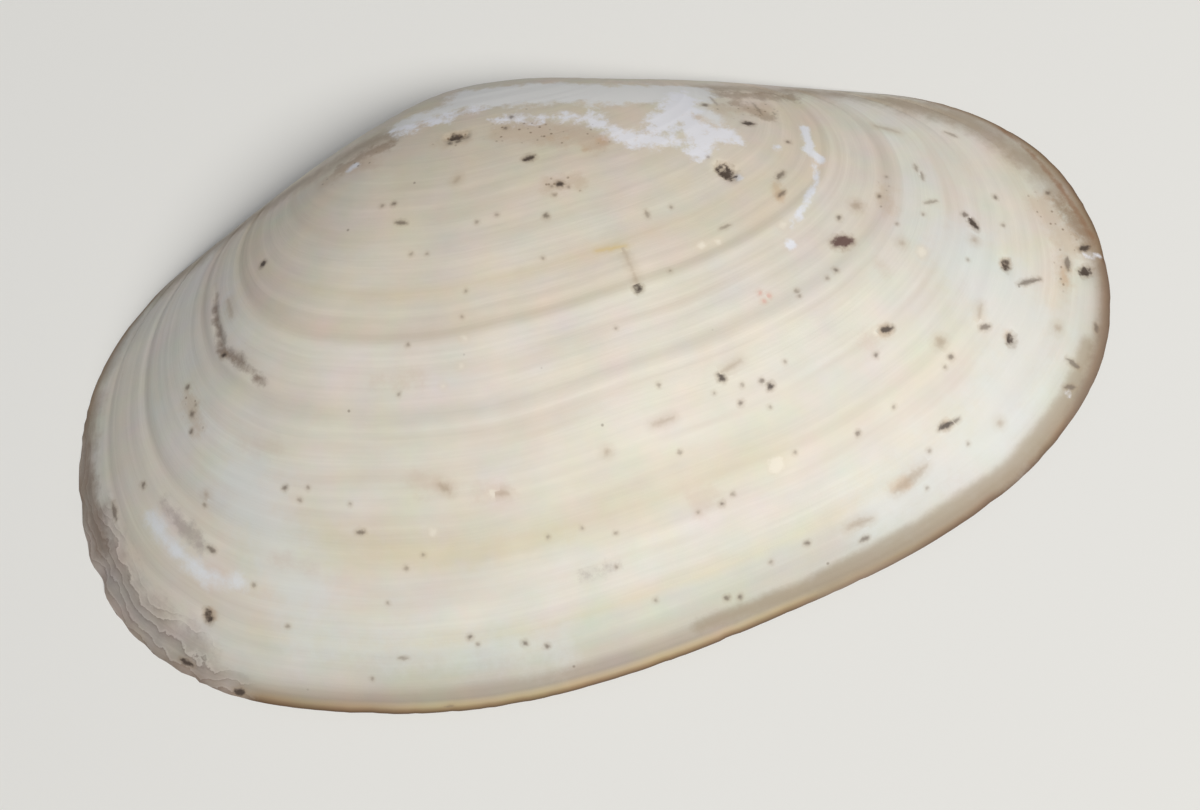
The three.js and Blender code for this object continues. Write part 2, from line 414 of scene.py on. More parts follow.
# %% Outlines of the hinge, from the beak, in millimetres
SHELF_LOW = 0.45
SHELF_HIGH = 1.9
SHELF = [
    (-15.6, -7.5), (-12.5, -7.5), (-9.0, -7.35), (-4.5, -7.45), (-0.5, -7.3), (4.5, -6.8), (10.0, -6.0),
    (14.0, -5.5), (17.4, -5.2), (10.0, -3.2), (4.5, -2.4), (0.0, -1.8), (-4.5, -3.3), (-9.5, -4.9),
]
PIT = [(-0.35, -2.7), (0.35, -2.7), (2.0, -9.0), (-0.6, -9.3), (-3.2, -9.0)]
PIT_HIGH = 1.35
SOCKETS = [(-8.6, -5.95, 0.25), (10.8, -4.5, -0.14)]   # x, y and turn
SOCKET_LENGTH = 7.0
SOCKET_WIDTH = 1.0
SOCKET_HIGH = 1.2
TEETH = [(2.9, -4.6, 1.87), (4.6, -4.6, 2.12)]
TOOTH_LENGTH = 3.0
TOOTH_WIDTH = 0.7
TOOTH_LOW = 0.1
TOOTH_RISE = 0.6   # above the shelf's lower face
CUT_LOW = -1.0     # the cuts start below the rim
print("the shelf is", SHELF_HIGH - SHELF_LOW, "mm thick")


# %% Flat outlines and the solids raised from them
def bar_outline(x, y, turn, length, width):
    half = (length - width) / 2
    ends = [(half, -90), (half, -45), (half, 0), (half, 45), (half, 90)]
    ends += [(-half, 90), (-half, 135), (-half, 180), (-half, 225), (-half, 270)]
    ring = []
    for centre, degrees in ends:
        along = centre + width / 2 * math.cos(math.radians(degrees))
        across = width / 2 * math.sin(math.radians(degrees))
        ring.append((x + along * math.cos(turn) - across * math.sin(turn),
                     y + along * math.sin(turn) + across * math.cos(turn)))
    return ring


def raised(name, outlines, low, high):
    solid = bmesh.new()
    for outline in outlines:
        ring = [solid.verts.new((Vector((x, y, low)) + BEAK) * MM) for x, y in outline]
        base = solid.faces.new(ring)
        top = bmesh.ops.extrude_face_region(solid, geom=[base])["geom"]
        moved = [v for v in top if isinstance(v, bmesh.types.BMVert)]
        bmesh.ops.translate(solid, verts=moved, vec=(0, 0, (high - low) * MM))
    bmesh.ops.recalc_face_normals(solid, faces=solid.faces)
    mesh = bpy.data.meshes.new(name)
    for face in solid.faces:
        face.material_index = 1   # the lining
    solid.to_mesh(mesh)
    solid.free()
    mesh.materials.append(worn_shell)
    mesh.materials.append(smooth_shell)
    holder = bpy.data.objects.new(name, mesh)
    bpy.context.scene.collection.objects.link(holder)
    return holder


# %% The shelf, the pit, the sockets and the teeth
sockets = [bar_outline(*place, SOCKET_LENGTH, SOCKET_WIDTH) for place in SOCKETS]
teeth = [bar_outline(*place, TOOTH_LENGTH, TOOTH_WIDTH) for place in TEETH]
hinge_work = [
    (raised("shelf", [SHELF], SHELF_LOW, SHELF_HIGH), "UNION"),
    (raised("ligament_pit", [PIT], CUT_LOW, PIT_HIGH), "DIFFERENCE"),
    (raised("sockets", sockets, CUT_LOW, SOCKET_HIGH), "DIFFERENCE"),
    (raised("teeth", teeth, TOOTH_LOW, SHELF_LOW + TOOTH_RISE), "UNION"),
]
print(len(sockets), "sockets and", len(teeth), "teeth")

# %% [markdown]
# ## One solid
#
# Four Boolean modifiers join the hinge to the valve and cut its hollows. A hinge sculpted into
# the grid would need far more points. The cuts leave slivers and faces with many sides, which
# shade badly. So points that all but meet are merged, and such faces become triangles.

# %% The hinge is joined to the valve
for helper, operation in hinge_work:
    joint = valve.modifiers.new(helper.name, "BOOLEAN")
    joint.operation = operation
    joint.solver = "MANIFOLD"
    joint.object = helper
seen = valve.evaluated_get(bpy.context.evaluated_depsgraph_get())
joined_mesh = bpy.data.meshes.new_from_object(seen)
print("joined:", len(joined_mesh.vertices), "points,", sorted(joined_mesh.attributes.keys()))
valve.modifiers.clear()
valve.data = joined_mesh
valve_mesh = joined_mesh
for helper, operation in hinge_work:
    bpy.data.objects.remove(helper)

# %% Slivers left by the cuts are cleared
SHARP_ANGLE = math.radians(35)
clean = bmesh.new()
clean.from_mesh(valve_mesh)
bmesh.ops.remove_doubles(clean, verts=clean.verts, dist=MERGED_WITHIN * MM)
many_sided = [face for face in clean.faces if len(face.verts) > 4]
bmesh.ops.triangulate(clean, faces=many_sided)
loose = [edge for edge in clean.edges if not edge.is_manifold]
print(len(many_sided), "many-sided faces cut up,", len(loose), "open edges")
clean.to_mesh(valve_mesh)
clean.free()
valve_mesh.set_sharp_from_angle(angle=SHARP_ANGLE)

# %% [markdown]
# ## Places on the shell
#
# Every stain, speck and chip sits somewhere on the real shell. Their places are noted as
# pixels of the photograph, and a ray from the camera through each pixel finds the point of the
# surface under it. So a mark belongs to the surface, and stays there in every other view.

# %% From a pixel to a point of the surface
PIXELS_PER_UNIT = LENS / SENSOR * FRAME_WIDTH
MOST_STEPS = 30
STEP_INWARDS = 0.004    # share of the way to the middle of the frame
mesh_points = [v.co.copy() for v in valve_mesh.vertices]
surface_finder = BVHTree.FromPolygons(mesh_points, [tuple(f.vertices) for f in valve_mesh.polygons])


def on_shell(x, y):
    for step in range(MOST_STEPS):   # a pixel just off the edge moves in until its ray meets the shell
        share = step * STEP_INWARDS
        column = x + (FRAME_WIDTH / 2 - x) * share
        line = y + (FRAME_HEIGHT / 2 - y) * share
        across = camera_right * (column - FRAME_WIDTH / 2) - camera_up * (line - FRAME_HEIGHT / 2)
        ray = across / PIXELS_PER_UNIT - towards_camera
        hit, facing, face, far = surface_finder.ray_cast(camera_place, ray.normalized())
        if hit is not None:
            return np.array(hit) / MM - np.array(BEAK), far / MM / PIXELS_PER_UNIT
    raise ValueError(f"no shell near pixel {x}, {y}")


middle, pixel_mm = on_shell(600, 400)
print("one pixel of the photograph is", round(pixel_mm, 3), "mm on the shell")

# %% [markdown]
# ## The finish of the outside
#
# The outside is aragonite that has lost its skin and been rubbed by sand. It is matt, almost
# like unglazed porcelain, with soft cream, straw and grey bands that follow the old rims. The
# bands come from two colour ramps over the stage of growth, one for the middle of the dome and
# one for its two ends. Finer streaks read the stage and the place along the rim, so they too
# run with growth.

# %% Coordinates for the outside
worn = worn_shell.node_tree
surface = worn.nodes["Principled BSDF"]
at = add(worn, "ShaderNodeTexCoord").outputs["Object"]
at = add(worn, VECTOR_MATH, {0: at, "Scale": 1 / MM}, operation="SCALE")
at = add(worn, VECTOR_MATH, [at, tuple(BEAK)], operation="SUBTRACT")   # mm from the beak
growth = add(worn, ATTRIBUTE, attribute_name="growth").outputs["Fac"]
rim_place = add(worn, ATTRIBUTE, attribute_name="rim place").outputs["Vector"]
straight_rim = add(worn, MAP_RANGE, [growth, 0.93, 0.99, 1.0, 0.0])   # it ends the bends there
wander = add(worn, NOISE, {"Vector": at, "Scale": WANDER_SCALE, "Detail": 1.0})
wander = add(worn, MATH, [wander, WANDER, -WANDER / 2], operation="MULTIPLY_ADD")
wander = add(worn, MATH, [wander, straight_rim], operation="MULTIPLY")
bent = add(worn, MATH, [growth, wander], operation="ADD")
print("the bands stray by", WANDER / 2, "of the growth to each side, as the ridges do")

# %% Bands of colour, from the beak to the last rim
# The last stops run from the brown band at the rim, through a thin pale line, to dark brown at the very
# edge. The pale line is a painted highlight on the rim's lit edge. The dark brown is partly skin folded
# under the rim and partly painted shadow under it.
BANDS = [
    (0.00, "#c9c6c0"), (0.18, "#d0c5b4"), (0.30, "#d6ccbb"), (0.42, "#dcd3c3"), (0.498, "#dfd7c9"),
    (0.512, "#d7ccb8"), (0.530, "#ded6c7"), (0.553, "#d8cdbe"), (0.566, "#d9cfbe"), (0.580, "#e2dcd1"),
    (0.62, "#e1dbd1"), (0.655, "#dbd4c8"), (0.69, "#e1dbcf"), (0.77, "#e0dacc"), (0.79, "#dcd5c5"),
    (0.816, "#d9d1bd"), (0.835, "#ded7c8"), (0.86, "#e1ded5"), (0.90, "#dfdcd2"), (0.918, "#dad5c2"),
    (0.928, "#d6d5c9"), (0.955, "#cacabe"), (0.966, "#c9c5b9"), (0.975, "#b8aea0"), (0.985, "#aea395"),
    (0.991, "#c9b796"), (0.995, "#a58a66"), (1.0, "#5d4734"),
]
SIDE_BANDS = [
    (0.00, "#c9c6c0"), (0.30, "#dacdbb"), (0.50, "#dfd3c3"), (0.553, "#d3c6b3"), (0.58, "#dfd8cc"),
    (0.655, "#d5cdc1"), (0.69, "#dfdcd4"), (0.80, "#dad6cc"), (0.83, "#e1dbcf"), (0.915, "#dad3c6"),
    (0.95, "#d8d6cd"), (0.972, "#cdc8bd"), (0.983, "#aea293"), (0.993, "#8f7860"), (1.0, "#5f452f"),
]


def set_stops(ramp, stops):
    line = ramp.color_ramp.elements
    line[0].position = stops[0][0]
    line[0].color = paint(stops[0][1])
    line[1].position = stops[-1][0]
    line[1].color = paint(stops[-1][1])
    for place, code in stops[1:-1]:
        line.new(place).color = paint(code)


# %% The middle of the dome and its two ends
LEFT_END = (-8.0, -20.0)    # X from the beak, where the middle's bands give way to the end's
RIGHT_END = (9.0, 24.0)
at_xyz = add(worn, "ShaderNodeSeparateXYZ", [at])
to_left = add(worn, MAP_RANGE, [at_xyz.outputs[0], *LEFT_END, 0.0, 1.0])
to_right = add(worn, MAP_RANGE, [at_xyz.outputs[0], *RIGHT_END, 0.0, 1.0])
to_side = add(worn, MATH, [to_left, to_right], operation="MAXIMUM")
middle_bands = add(worn, "ShaderNodeValToRGB", [bent])
set_stops(middle_bands, BANDS)
side_bands = add(worn, "ShaderNodeValToRGB", [bent])
set_stops(side_bands, SIDE_BANDS)
colour = add(worn, MIX, {0: to_side, 6: middle_bands, 7: side_bands}, data_type="RGBA").outputs[2]
print(len(BANDS), "and", len(SIDE_BANDS), "bands")

# %% Streaks and fine lines that run with growth
STREAKS_ALONG = 0.10    # a streak is about 10 mm long
STREAKS_ACROSS = 70.0   # from the beak to the rim, so one is about 0.5 mm wide
CLOUD_SCALE = 0.22      # one cloud in about 5 mm
ridge_at = add(worn, MATH, [bent, SIZES["Ridges"][1], SIZES["Seed"][1]], operation="MULTIPLY_ADD")
coarse = add(worn, NOISE, {"W": ridge_at, "Scale": 1.0, "Detail": 3.0, "Roughness": 0.7},
             noise_dimensions="1D")
drawn_out = add(worn, VECTOR_MATH, {0: rim_place, "Scale": STREAKS_ALONG}, operation="SCALE")
drawn_out = add(worn, "ShaderNodeSeparateXYZ", [drawn_out])
streak_at = add(worn, MATH, [bent, STREAKS_ACROSS], operation="MULTIPLY")
streak_at = add(worn, "ShaderNodeCombineXYZ", [drawn_out.outputs[0], drawn_out.outputs[1], streak_at])
streak = add(worn, NOISE, {"Vector": streak_at, "Scale": 1.0, "Detail": 4.0, "Roughness": 0.6})
cloud = add(worn, NOISE, {"Vector": at, "Scale": CLOUD_SCALE, "Detail": 4.0, "Roughness": 0.6})
for pattern, low, high in ((coarse, 0.970, 1.022), (streak, 0.962, 1.028), (cloud, 0.955, 1.03)):
    shade = add(worn, MAP_RANGE, [pattern, 0.3, 0.7, low, high])
    colour = add(worn, VECTOR_MATH, {0: colour, "Scale": shade}, operation="SCALE")
print("streaks about", round(1 / STREAKS_ALONG), "mm long")

# %% Mottling and a rosy cast
MOTTLE_SCALE = 0.42     # one mottle in about 2.4 mm
mottle = add(worn, NOISE, {"Vector": at, "Scale": MOTTLE_SCALE, "Detail": 4.0})
mottle = add(worn, VECTOR_MATH, [mottle.outputs["Color"], (0.20, 0.15, 0.22), (0.90, 0.925, 0.89)],
             operation="MULTIPLY_ADD")
colour = add(worn, VECTOR_MATH, [colour, mottle], operation="MULTIPLY")
rosy = add(worn, NOISE, {"Vector": streak_at, "Scale": 0.45, "Detail": 3.0})
rosy = add(worn, MAP_RANGE, [rosy, 0.52, 0.72, 0.0, 0.35])
colour = add(worn, MIX, {0: rosy, 6: colour, 7: paint("#cfbfae")}, data_type="RGBA").outputs[2]
print("mottling in patches of about", round(1 / MOTTLE_SCALE, 1), "mm")

# %% [markdown]
# ## Marks
#
# Small borings and grit are dark, chips and the worn beak are chalk white, and a few stains
# are brown, yellow or rosy. Each mark is a dot or a short stroke with a radius. A painted
# image would do this at once, but it would be tied to one size and one view. A node for each
# mark would make a huge material. So the mesh carries the marks. A large patch is a number on
# each point, the distance to the patch's edge. A small mark is finer than the mesh, so each
# face keeps the place, size and paint of the mark nearest to it, and the material works out
# the exact distance. Noise makes every edge uneven.

# %% Grit and borings, as pixels: x, y and radius, or two ends and a radius
GRIT = [
    (448, 138, 465, 135, 4.6), (450, 143, 2.2), (458, 141, 2.6), (525, 159, 533, 157, 3.2),
    (560, 184, 3.2), (568, 187, 1.5), (552, 186, 1.3), (554, 195, 1.6), (506, 128, 2.2), (511, 117, 2.2),
    (546, 216, 2.9), (396, 222, 406, 223, 2.2), (382, 206, 1.9), (394, 204, 2), (411, 254, 1.8),
    (427, 254, 1.1), (497, 215, 1.4), (477, 222, 1.7), (646, 211, 648, 217, 1.8), (671, 207, 1.5),
    (722, 168, 730, 174, 7.6), (744, 123, 752, 124, 3.2), (705, 105, 2.6), (710, 97, 717, 105, 1.3),
    (753, 103, 762, 115, 1.7), (775, 114, 1.5), (788, 142, 2), (778, 178, 783, 172, 2.8),
    (778, 197, 785, 191, 2), (708, 157, 1.6), (720, 229, 730, 225, 1.7), (638, 288, 4), (670, 271, 1.3),
    (466, 291, 1.4), (462, 317, 1.1), (408, 345, 1.6), (616, 328, 1.1), (543, 258, 1.2), (263, 264, 3.4),
    (223, 355, 3), (879, 196, 2), (886, 177, 1.2), (839, 218, 2.1), (827, 278, 1.6), (836, 270, 2),
    (797, 291, 1.9), (799, 296, 1.4), (915, 165, 917, 171, 1.8), (921, 172, 923, 180, 1.9),
    (925, 203, 937, 201, 1.8), (897, 224, 1.4), (923, 214, 1.5), (945, 132, 957, 137, 1.7),
    (995, 197, 2.2), (965, 215, 2.8), (970, 220, 977, 228, 3.4), (1003, 225, 1.9),
    (1006, 262, 1006, 267, 4.4), (968, 260, 1.3), (1018, 284, 1040, 279, 2.4), (981, 328, 989, 326, 2.7),
    (1011, 337, 1011, 342, 4.4), (1048, 193, 2.6), (1080, 249, 1089, 247, 3),
    (1083, 272, 1089, 270, 5.2), (1067, 257, 1068, 270, 2.8), (1096, 325, 1097, 331, 2.3),
    (1067, 359, 1079, 368, 2.8), (1064, 387, 1076, 387, 2.3), (882, 331, 892, 328, 3.4), (951, 357, 2.4),
    (876, 355, 2), (785, 362, 1.4), (188, 387, 2.6), (192, 414, 2.7), (196, 405, 1.5), (191, 432, 2),
    (143, 485, 2.7), (205, 505, 1.9), (209, 548, 214, 551, 2.6), (207, 612, 209, 620, 4.4),
    (285, 488, 2.3), (308, 488, 1.9), (300, 500, 1.8), (350, 504, 1.2), (357, 532, 364, 532, 2.2),
    (406, 568, 1.8), (254, 585, 1.7), (288, 626, 1.9), (470, 637, 2.1), (478, 644, 1.6), (525, 643, 2.4),
    (547, 646, 2.2), (399, 658, 408, 658, 1.6), (372, 679, 1.6), (388, 603, 1.2), (423, 555, 1.4),
    (548, 537, 1.6), (582, 528, 1.3), (720, 376, 723, 379, 3), (659, 385, 1.8), (742, 385, 1.7),
    (762, 381, 2.3), (770, 386, 3), (741, 403, 2.1), (770, 407, 1.4), (714, 393, 1.1), (399, 394, 1.5),
    (945, 367, 1.5), (858, 433, 2), (894, 407, 1.7), (680, 452, 1.8), (795, 453, 1.6), (733, 494, 1.8),
    (722, 504, 2), (698, 512, 1.3), (616, 533, 1.7), (929, 451, 1.9), (968, 444, 1.4), (807, 543, 2.4),
    (861, 541, 868, 537, 2.2), (771, 562, 1.8), (727, 598, 2.3), (740, 597, 2), (656, 600, 1.7),
    (927, 488, 1.5), (617, 567, 1.8), (236, 692, 243, 692, 3.6), (181, 660, 192, 665, 3.2),
    (940, 428, 952, 423, 3), (952, 423, 959, 419, 2.2), (445, 707, 453, 706, 1.5),
    (113, 503, 116, 520, 2.6),
]
print(len(GRIT), "grains and borings")

# %% The other small marks
MAROON = [(835, 243, 850, 241, 5.6)]
YELLOW = [(596, 251, 626, 246, 1.8)]
PINK = [(760, 293, 1.8), (769, 296, 1.8), (764, 301, 1.6)]
DUST = [
    (622, 247, 634, 274, 0.9), (634, 274, 638, 288, 1.1), (722, 372, 740, 361, 2),
    (848, 527, 872, 518, 3), (895, 492, 926, 466, 4), (875, 126, 898, 132, 1.7), (857, 206, 5),
    (940, 342, 5), (981, 305, 979, 317, 1.6), (975, 240, 2.6), (902, 243, 2.2), (607, 452, 2.6),
    (1058, 328, 3), (653, 425, 673, 418, 2.2), (455, 182, 459, 177, 1.8), (206, 495, 2.2),
    (1000, 423, 2.2), (441, 486, 448, 490, 3.2), (496, 494, 508, 493, 2), (228, 300, 232, 316, 2),
]
CREAM = [
    (702, 245, 3.6), (718, 242, 2.8), (464, 338, 2.8), (461, 366, 2.2), (443, 386, 1.6), (493, 493, 4),
    (776, 465, 8), (783, 225, 3.6), (876, 333, 3), (433, 532, 4), (922, 252, 4.6),
    (214, 286, 214, 300, 1.6),
]
print(len(DUST), "dusty strokes and", len(CREAM), "cream spots")

# %% The patches, with the same kind of strokes
PATCHES = {
    "cool": [
        (960, 250, 1030, 330, 34), (1030, 330, 990, 430, 34), (990, 430, 880, 510, 26),
        (240, 480, 300, 590, 30), (228, 296, 240, 334, 6), (300, 640, 560, 650, 10),
    ],
    "margin shade": [
        (1088, 345, 1066, 400, 8), (1066, 400, 1010, 470, 10), (1010, 470, 910, 535, 10),
        (910, 535, 820, 583, 11), (820, 583, 700, 625, 7),
    ],
    "rim line": [(1000, 128, 1030, 152, 1.6), (1030, 152, 1064, 192, 2.6), (1064, 192, 1092, 238, 2.6)],
    "umber": [
        (340, 170, 385, 145, 8), (705, 94, 790, 98, 8), (735, 104, 770, 118, 8),
        (1060, 205, 1092, 245, 6),
    ],
    "freckled": [
        (505, 129, 598, 140, 15), (552, 186, 575, 184, 8), (720, 110, 765, 108, 12),
        (448, 140, 466, 136, 9), (330, 178, 372, 160, 9), (188, 395, 196, 425, 8),
        (885, 190, 890, 210, 6), (1060, 260, 1066, 290, 6), (1040, 205, 1072, 250, 11),
    ],
    "worn beak": [
        (402, 126, 470, 102, 13), (470, 98, 600, 92, 25), (600, 94, 690, 94, 25),
        (690, 105, 715, 120, 10),
    ],
    "rosy": [
        (245, 443, 273, 450, 6), (275, 559, 309, 566, 6), (379, 379, 416, 381, 5),
        (418, 480, 446, 488, 9), (482, 495, 508, 492, 5), (868, 342, 8), (704, 503, 14), (882, 267, 3),
        (520, 120, 600, 142, 8),
    ],
    "mauve": [
        (164, 503, 178, 520, 3), (178, 520, 200, 545, 7), (95, 520, 108, 575, 5),
        (586, 575, 614, 568, 3.2), (181, 660, 192, 665, 6),
    ],
    "straw": [(594, 252, 628, 245, 2.6), (330, 535, 470, 558, 8), (470, 558, 560, 531, 8), (416, 534, 3)],
    # painted highlight, bluish white, low on the left end
    "painted highlight": [(152, 520, 166, 540, 8), (166, 540, 205, 575, 7), (205, 575, 240, 583, 5)],
    "chalk": [
        (396, 131, 432, 121, 5), (432, 121, 474, 110, 6.5), (500, 121, 540, 117, 4),
        (560, 117, 600, 118, 6), (600, 122, 628, 139, 9), (628, 136, 668, 142, 9),
        (664, 128, 682, 98, 15), (682, 108, 702, 146, 12), (702, 128, 730, 136, 10),
        (690, 150, 704, 154, 6),
    ],
    "chips": [
        (804, 128, 810, 150, 4.4), (808, 150, 819, 160, 6), (815, 165, 816, 182, 2.2),
        (816, 182, 803, 208, 1.8), (798, 215, 4.6), (803, 206, 791, 226, 1.8), (791, 245, 5),
        (739, 177, 3.2), (777, 147, 3.2), (1085, 254, 1101, 257, 2.4), (1068, 395, 3.2),
        (349, 170, 356, 165, 3.2),
    ],
    "break": [
        (216, 296, 216, 318, 3), (216, 318, 221, 343, 4.4), (221, 350, 238, 360, 4.8),
        (238, 360, 262, 382, 2.8),
    ],
    "halo": [
        (775, 184, 779, 196, 5), (603, 140, 5), (567, 137, 4), (551, 137, 3), (584, 150, 3),
        (885, 331, 7), (1063, 258, 1065, 284, 2.2), (1008, 335, 5), (893, 486, 904, 483, 6),
        (102, 584, 108, 600, 3.5), (1004, 262, 5.5), (945, 424, 5.5), (238, 690, 6.5), (212, 617, 7),
    ],
    # brown along the top edges: old skin along the hinge, and painted shade where they slope away from the
    # light
    "dorsal": [
        (150, 300, 260, 213, 12), (260, 213, 388, 136, 11), (700, 88, 800, 92, 9),
        (800, 92, 950, 108, 9), (890, 101, 965, 119, 14), (965, 119, 1045, 174, 14),
        (1045, 174, 1092, 248, 10), (95, 400, 88, 480, 8), (150, 300, 100, 380, 7),
    ],
    "flaky": [
        (84, 440, 92, 530, 12), (96, 530, 132, 610, 30), (132, 610, 190, 655, 29),
        (190, 662, 236, 690, 14),
    ],
    "rough rim": [
        (1104, 268, 1110, 300, 7), (1108, 305, 1096, 372, 7), (1096, 372, 1070, 420, 5),
        (84, 420, 88, 480, 6), (88, 480, 102, 545, 11),
    ],
}
print(len(PATCHES), "kinds of patch")

# %% [markdown]
# ## From the marks to numbers on the mesh
#
# The two ends of a mark are found on the surface, and numpy measures how far each point of the
# mesh lies from the stroke between them. The distance is in millimetres and is negative inside
# the mark. A vertex group or a painted colour could carry the patches too. But a distance lets
# the material choose how soft and how ragged an edge is, and the same number shapes the relief.

# %% Distances to the patches
def distance_to(places, mark):
    first, pixel = on_shell(mark[0], mark[1])
    line = np.zeros(3)
    if len(mark) == 5:
        line = on_shell(mark[2], mark[3])[0] - first
    radius = mark[-1] * pixel
    from_end = places - first
    share = np.clip(from_end @ line / max(line @ line, 1e-9), 0, 1)
    return np.linalg.norm(from_end - share[:, None] * line, axis=1) - radius, first, line, radius


def read(name, field, shape):
    values = np.zeros(shape, dtype=np.float32)
    valve_mesh.attributes[name].data.foreach_get(field, values.ravel())
    return values


def keep(name, kind, domain, values):
    made = valve_mesh.attributes.new(name, kind, domain)
    field = "value" if kind == "FLOAT" else "vector"
    made.data.foreach_set(field, np.asarray(values, dtype=np.float32).ravel())


# %% Every point keeps its distance to each patch
DORSAL_EDGE = (-9.0, -4.0)   # rim places above these Y, left and right of the beak, are brown too
beak_xyz = np.array(BEAK)
points = np.array([v.co for v in valve_mesh.vertices]) / MM - beak_xyz
rims = read("rim place", "vector", (len(points), 3))
dorsal_edge = np.where(rims[:, 0] < 0, DORSAL_EDGE[0], DORSAL_EDGE[1])
patch_distance = {}
for patch_name, marks in PATCHES.items():
    nearest = np.min([distance_to(points, mark)[0] for mark in marks], axis=0)
    if patch_name == "dorsal":
        nearest = np.minimum(nearest, (dorsal_edge - rims[:, 1]) * 0.7)
    patch_distance[patch_name] = nearest
    keep(patch_name, "FLOAT", "POINT", nearest)
    print(patch_name, "covers", int((nearest < 0).sum()), "points")

# %% Paint and strength of the small marks
FINE_GRIT = [mark for mark in GRIT if mark[-1] < 2.0]
MIDDLE_GRIT = [mark for mark in GRIT if 2.0 <= mark[-1] < 3.0]
COARSE_GRIT = [mark for mark in GRIT if mark[-1] >= 3.0]
SMALL = [   # marks, paint, strength and softness in mm
    (FINE_GRIT, "#7f6f60", 0.50, 0.08), (MIDDLE_GRIT, "#64564a", 0.68, 0.09),
    (COARSE_GRIT, "#46382f", 0.95, 0.10), (MAROON, "#5a3d38", 0.92, 0.14),
    (PINK, "#d39c90", 0.60, 0.10), (YELLOW, "#d4bb80", 0.60, 0.10),
    (DUST, "#a08a72", 0.50, 0.20), (CREAM, "#efe8da", 0.55, 0.14),
]
print(sum(len(marks) for marks, code, strength, soft in SMALL), "small marks")

# %% Each face finds its nearest small mark
MOST_THIN = 2.8       # a long stroke's ends are 0.3 of its width, and a dot isn't thinned
LONG_STROKE = 5.0     # length over radius
centres = np.array([f.center for f in valve_mesh.polygons]) / MM - beak_xyz
best = np.full(len(centres), np.inf)
starts = np.zeros((len(centres), 3))
lines = np.zeros((len(centres), 3))
sizes = np.zeros((len(centres), 3))
paints = np.zeros((len(centres), 3))
thinnings = np.zeros(len(centres))
for marks, code, strength, soft in SMALL:
    for mark in marks:
        far, first, line, radius = distance_to(centres, mark)
        closer = far < best
        best[closer] = far[closer]
        starts[closer] = first
        lines[closer] = line
        sizes[closer] = (radius, strength, soft)
        paints[closer] = paint(code)[:3]
        thinnings[closer] = MOST_THIN * min(1.0, np.linalg.norm(line) / radius / LONG_STROKE)
print(int((best < 0).sum()), "faces have their middle in a small mark")

# %% It keeps the mark's start, line, size and paint
keep("mark start", "FLOAT_VECTOR", "FACE", starts)
keep("mark line", "FLOAT_VECTOR", "FACE", lines)
keep("mark size", "FLOAT_VECTOR", "FACE", sizes)
keep("mark paint", "FLOAT_VECTOR", "FACE", paints)
keep("mark thinning", "FLOAT", "FACE", thinnings)
print(len(valve_mesh.attributes), "attributes on the mesh")

# %% [markdown]
# ## Flakes, pits and chips
#
# The outside of a shell is laid down in thin sheets, like the pages of a book. Where the surf
# has worn the edge, the sheets end one behind the other in small broken steps. They could be
# painted, but steps catch the light and show in the outline, so here the mesh itself moves.
# The colour of each sheet paints some of that light too: shade at its step, a highlight on its edge.
# The stage of growth, bent by noise, says which sheet a point is on. The largest borings are
# small pits, one old break is a shallow groove, and the rim has chips and one notch.

# %% Which sheet each point is on
SHEETS = 62          # from the beak to the rim
SHEET_REACH = 2.0    # mm beside the flaky patch that still have sheets
stages = read("growth", "value", len(points))
outer = read("outside", "value", len(points))
sheet = np.zeros(len(points))
for i in np.nonzero(patch_distance["flaky"] < SHEET_REACH)[0]:
    spot = Vector(points[i])   # noise bends the sheets by up to 1.6 of one over 3 mm, and less over 0.9 mm
    sheet[i] = stages[i] * SHEETS + 1.6 * noise.noise(spot / 3.0) + 0.7 * noise.noise(spot / 0.9)
keep("sheet", "FLOAT", "POINT", sheet)
print(len(np.unique(np.floor(sheet[sheet > 0]))), "sheets end along the flaky edge")

# %% Steps between the sheets, the old break and the pits
SHEET_STEP = 0.10       # mm
SHEET_FADE = 1.6        # mm over which the steps die out at the patch's edge
BREAK_DEPTH = 0.14
PIT_FROM = 3.8          # a boring with at least this radius, in pixels, is a pit
PIT_DEPTH = 0.7         # over its radius
STILL_RIM = 0.012       # the last stages, where the relief fades out


def move_to(places):
    valve_mesh.vertices.foreach_set("co", places.ravel())
    valve_mesh.update()


flaking = np.clip(0.5 - patch_distance["flaky"] / SHEET_FADE, 0, 1)
lift = flaking * SHEET_STEP * (0.5 - np.mod(sheet, 1.0))
lift -= BREAK_DEPTH * np.clip(0.25 - patch_distance["break"] / 0.35, 0, 1)
for mark in GRIT:
    if mark[-1] >= PIT_FROM:
        far, first, line, radius = distance_to(points, mark)
        lift -= PIT_DEPTH * radius * np.clip(0.4 - far / (1.2 * radius), 0, 1)
lift *= np.clip((1.0 - stages) / STILL_RIM, 0, 1) * outer
normals = np.array([v.normal for v in valve_mesh.vertices])
moved = (points + beak_xyz + normals * lift[:, None]) * MM
moved[:, 2] = np.maximum(moved[:, 2], 0)
move_to(moved)
print("relief from", round(float(lift.min()), 2), "to", round(float(lift.max()), 2), "mm")

